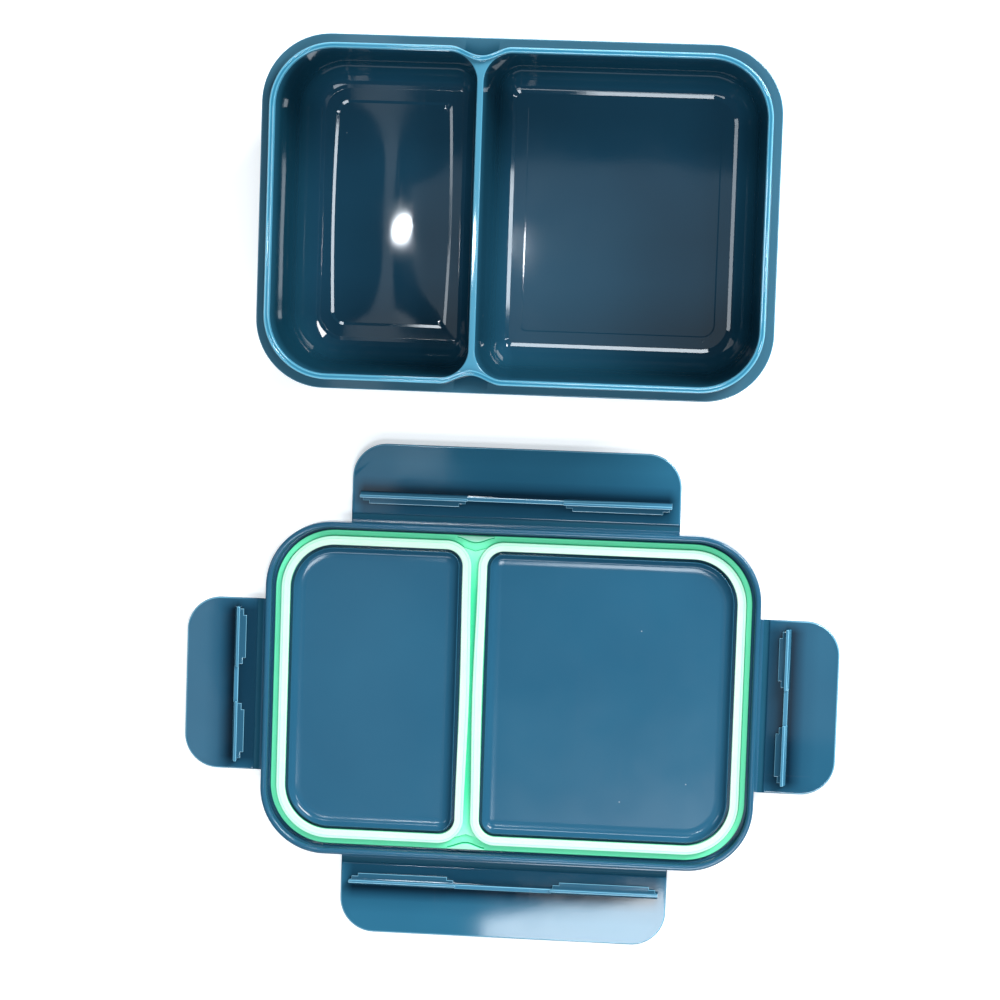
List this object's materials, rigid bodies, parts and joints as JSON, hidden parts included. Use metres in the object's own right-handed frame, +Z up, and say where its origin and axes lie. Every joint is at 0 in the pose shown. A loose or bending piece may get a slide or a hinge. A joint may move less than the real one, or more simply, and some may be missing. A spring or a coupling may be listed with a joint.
{
  "type": "bento lunch box",
  "caption": "Rectangular bento lunch box with two compartments, shown open: deep tray with a flanged rim, and its lid lying upside down beside it with a silicone seal and fold-over clips.",
  "frame": {"origin": "centre of the tray's footprint, on its flat underside", "axes": "+Z up; +X along the tray's long side, with the small compartment at -X; +Y away from the lid, which lies at -Y"},
  "size_m": [0.2668, 0.3638, 0.058],
  "materials": {
    "blue_plastic": "glossy dark teal-blue polypropylene, smooth moulded",
    "thin_plastic": "the same polypropylene, thin and slightly see-through",
    "mint_silicone": "soft mint-green silicone, satin, slightly translucent"
  },
  "bodies": {
    "base": {"base_tray": "blue_plastic"},
    "lid": {"lid_panel": "blue_plastic", "gasket": "mint_silicone", "film_hinge_back": "thin_plastic", "film_hinge_left": "thin_plastic", "film_hinge_front": "thin_plastic", "film_hinge_right": "thin_plastic"},
    "clip_back": {"clip_back": "blue_plastic"},
    "clip_left": {"clip_left": "blue_plastic"},
    "clip_front": {"clip_front": "blue_plastic"},
    "clip_right": {"clip_right": "blue_plastic"}
  },
  "joints": [
    {"name": "lid_turn", "type": "hinge", "parent": "base", "child": "lid", "pos_m": [0, -0.097, 0.03075], "axis": [-1, 0, 0], "range_deg": [0, 180]},
    {"name": "clip_back_fold", "type": "hinge", "parent": "lid", "child": "clip_back", "pos_m": [0, -0.1229, 0.00335], "axis": [1, 0, 0], "range_deg": [0, 90]},
    {"name": "clip_front_fold", "type": "hinge", "parent": "lid", "child": "clip_front", "pos_m": [0, -0.2651, 0.00335], "axis": [-1, 0, 0], "range_deg": [0, 90]},
    {"name": "clip_left_fold", "type": "hinge", "parent": "lid", "child": "clip_left", "pos_m": [-0.1036, -0.194, 0.00335], "axis": [0, 1, 0], "range_deg": [0, 90]},
    {"name": "clip_right_fold", "type": "hinge", "parent": "lid", "child": "clip_right", "pos_m": [0.1036, -0.194, 0.00335], "axis": [0, -1, 0], "range_deg": [0, 90]}
  ]
}
